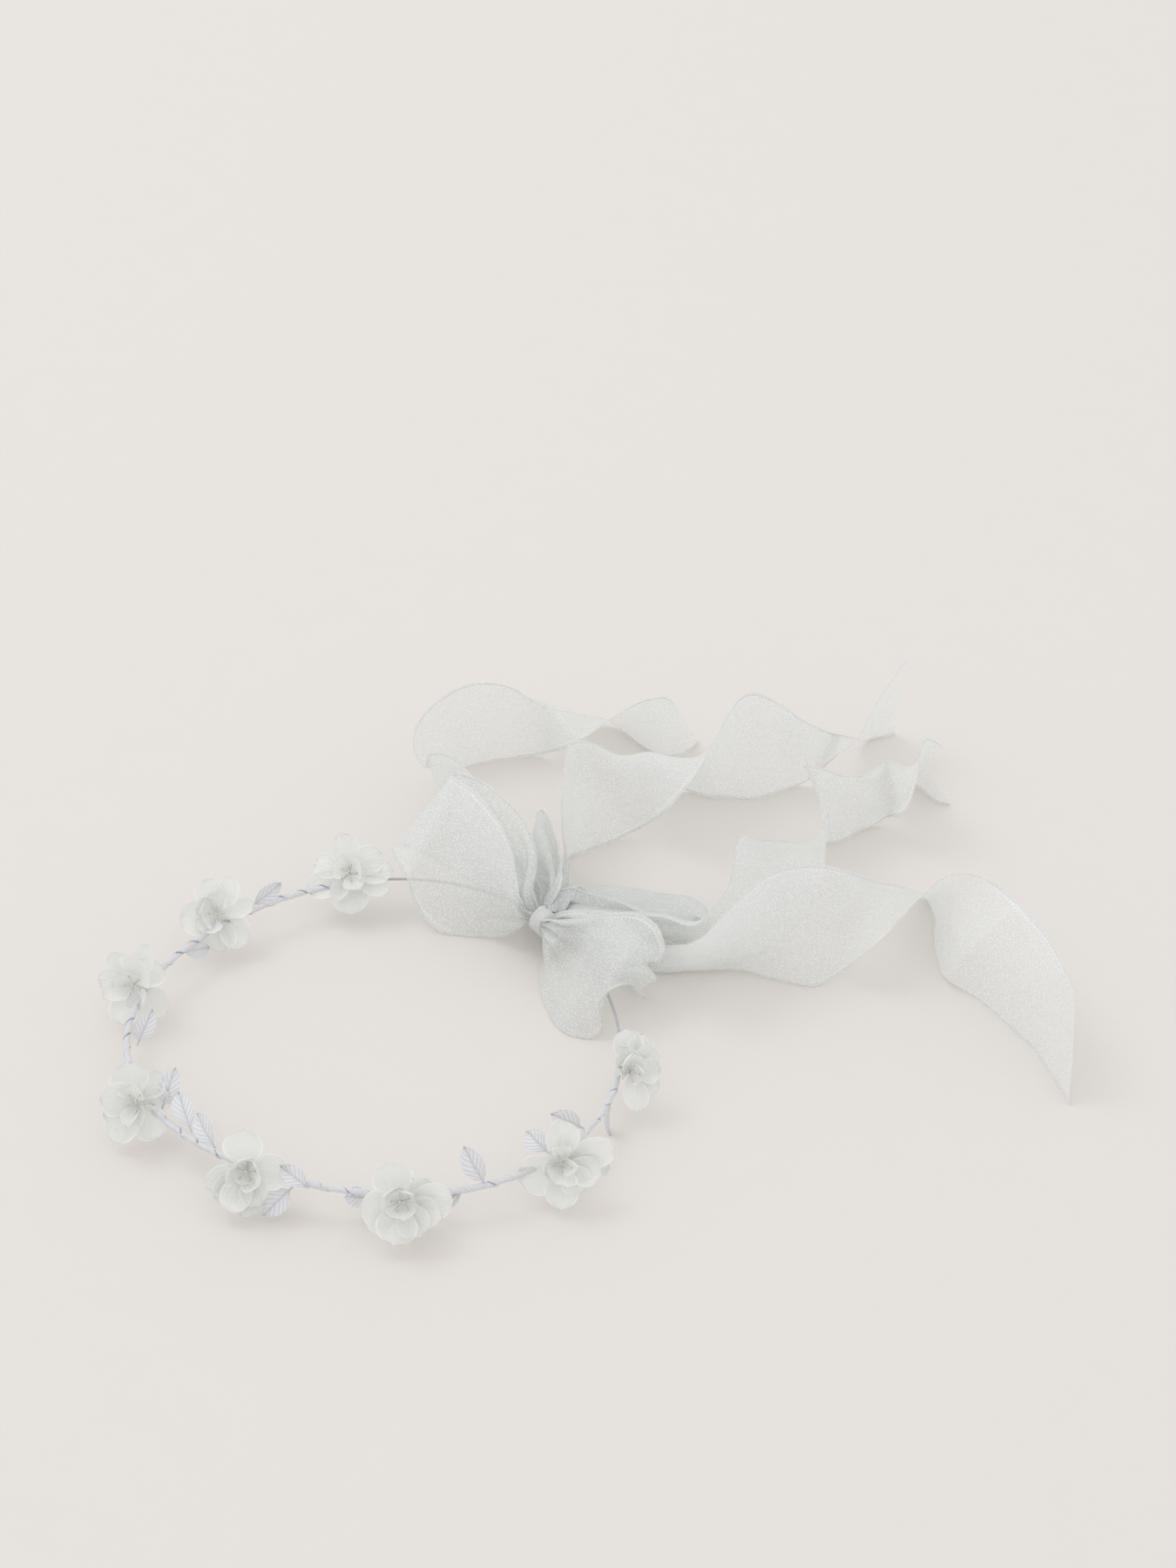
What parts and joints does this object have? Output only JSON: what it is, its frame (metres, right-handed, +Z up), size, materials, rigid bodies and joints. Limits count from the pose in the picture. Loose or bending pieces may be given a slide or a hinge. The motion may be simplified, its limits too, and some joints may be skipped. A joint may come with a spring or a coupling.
{
  "type": "flower crown",
  "caption": "Child's flower crown: wire hoop wrapped in tape with cloth flowers, satin leaves and a sheer ribbon bow with long trailing tails at the back.",
  "frame": {"origin": "centre of the hoop, on the surface the crown rests on", "axes": "+Z up through the hoop, +Y towards the bow at the back of the head, +X towards the wearer's left"},
  "size_m": [0.2774, 0.347, 0.0441],
  "materials": {
    "wire": "dull drawn wire",
    "tape": "crepe paper tape, matt, spiral wrapped",
    "petal_cloth": "stiffened sheer cloth, pale grey-green white",
    "stamen": "satin white wire and bead",
    "leaf_satin": "satin with pressed veins",
    "satin_ribbon": "satin",
    "organza": "sheer organza with a stitched hem"
  },
  "bodies": {
    "crown": {"hoop_wire": "wire", "stem_tape": "tape", "flower_1_outer": "petal_cloth", "flower_1_inner": "petal_cloth", "flower_1_stem": "stamen", "flower_2_outer": "petal_cloth", "flower_2_inner": "petal_cloth", "flower_2_stem": "stamen", "flower_3_outer": "petal_cloth", "flower_3_inner": "petal_cloth", "flower_3_stem": "stamen", "flower_4_outer": "petal_cloth", "flower_4_inner": "petal_cloth", "flower_4_stem": "stamen", "flower_5_outer": "petal_cloth", "flower_5_inner": "petal_cloth", "flower_5_stem": "stamen", "flower_6_outer": "petal_cloth", "flower_6_inner": "petal_cloth", "flower_6_stem": "stamen", "flower_7_outer": "petal_cloth", "flower_7_inner": "petal_cloth", "flower_7_stem": "stamen", "flower_8_outer": "petal_cloth", "flower_8_inner": "petal_cloth", "flower_8_stem": "stamen", "leaf_1": "leaf_satin", "leaf_2": "leaf_satin", "leaf_3": "leaf_satin", "leaf_4": "leaf_satin", "leaf_5": "leaf_satin", "leaf_6": "leaf_satin", "leaf_7": "leaf_satin", "leaf_8": "leaf_satin", "leaf_9": "leaf_satin", "leaf_10": "leaf_satin", "leaf_11": "leaf_satin", "leaf_12": "leaf_satin", "leaf_13": "leaf_satin", "leaf_14": "leaf_satin", "leaf_15": "leaf_satin"},
    "bow": {"bow_knot": "satin_ribbon", "bow_loop_left": "organza", "bow_loop_left_back": "organza", "bow_loop_right": "organza", "bow_loop_right_back": "organza"},
    "tail_1": {"ribbon_tail_1": "organza"},
    "tail_2": {"ribbon_tail_2": "organza"},
    "tail_3": {"ribbon_tail_3": "organza"},
    "tail_4": {"ribbon_tail_4": "organza"}
  },
  "joints": [
    {"name": "bow_roll", "type": "hinge", "parent": "crown", "child": "bow", "pos_m": [-0.0002, 0.0778, 0.0115], "axis": [0.9949, -0.1007, 0], "range_deg": [0, 8]},
    {"name": "tail_1_swing", "type": "hinge", "parent": "bow", "child": "tail_1", "pos_m": [-0.0002, 0.0778, 0.0115], "axis": [0, 0, 1], "range_deg": [-3, 4]},
    {"name": "tail_2_swing", "type": "hinge", "parent": "bow", "child": "tail_2", "pos_m": [-0.0002, 0.0778, 0.0115], "axis": [0, 0, 1], "range_deg": [-3, 1]},
    {"name": "tail_3_swing", "type": "hinge", "parent": "bow", "child": "tail_3", "pos_m": [-0.0002, 0.0778, 0.0115], "axis": [0, 0, 1], "range_deg": [-1, 1]},
    {"name": "tail_4_swing", "type": "hinge", "parent": "bow", "child": "tail_4", "pos_m": [-0.0002, 0.0778, 0.0115], "axis": [0, 0, 1], "range_deg": [-2, 1]}
  ]
}
